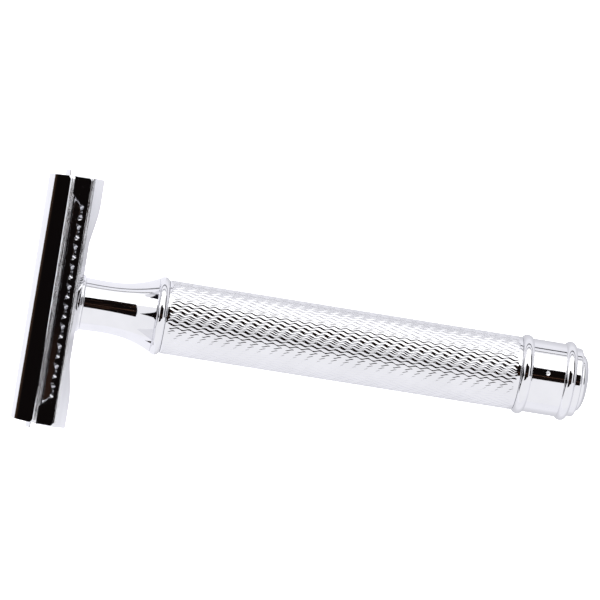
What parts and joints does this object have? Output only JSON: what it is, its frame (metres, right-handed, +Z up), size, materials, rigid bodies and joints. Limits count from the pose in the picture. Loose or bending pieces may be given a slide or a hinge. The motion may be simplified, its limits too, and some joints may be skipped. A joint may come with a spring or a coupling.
{
  "type": "safety razor",
  "caption": "Closed-comb double-edge razor: domed cap, scalloped guard, flared neck, chased tubular grip and beaded pommel; the head unscrews to change the blade.",
  "frame": {"origin": "middle of the object's footprint on the floor, z = 0 under it", "axes": "the razor lies on its guard and pommel: +X from the head to the pommel, with the handle's axis 4.3 degrees nose-up in the XZ plane, Y along the blade, +Z up"},
  "size_m": [0.094, 0.043, 0.0259],
  "materials": {
    "chrome": "mirror polished bright chrome plate",
    "chased_chrome": "bright chrome plate over a chased wavy pattern",
    "plated_screw": "plated thread, slightly duller",
    "blade_steel": "ground stainless steel with polished edge bevels"
  },
  "bodies": {
    "handle": {"neck": "chrome", "grip_tube": "chased_chrome", "pommel_sleeve": "chrome", "pommel_button": "chrome"},
    "head": {"base_plate": "chrome"},
    "cap_unit": {"cap": "chrome", "cap_stud": "plated_screw", "cap_post_a": "chrome", "cap_post_b": "chrome"},
    "blade_unit": {"blade": "blade_steel"}
  },
  "joints": [
    {"name": "head_turn", "type": "hinge", "parent": "handle", "child": "head", "pos_m": [-0.04693, 0, 0.01349], "axis": [-0.9971, 0, 0.0757], "range_deg": [0, 3240]},
    {"name": "cap_lift", "type": "slide", "parent": "head", "child": "cap_unit", "axis": [-0.9971, 0, 0.0757], "range_m": [0, 0.00721]},
    {"name": "blade_lift", "type": "slide", "parent": "head", "child": "blade_unit", "axis": [-0.9971, 0, 0.0757], "range_m": [0, 0.00361]}
  ],
  "couplings": [
    {"joint": "cap_lift", "follows": "head_turn", "m_per_rad": 0.00012732},
    {"joint": "blade_lift", "follows": "head_turn", "m_per_rad": 0.000063662}
  ]
}
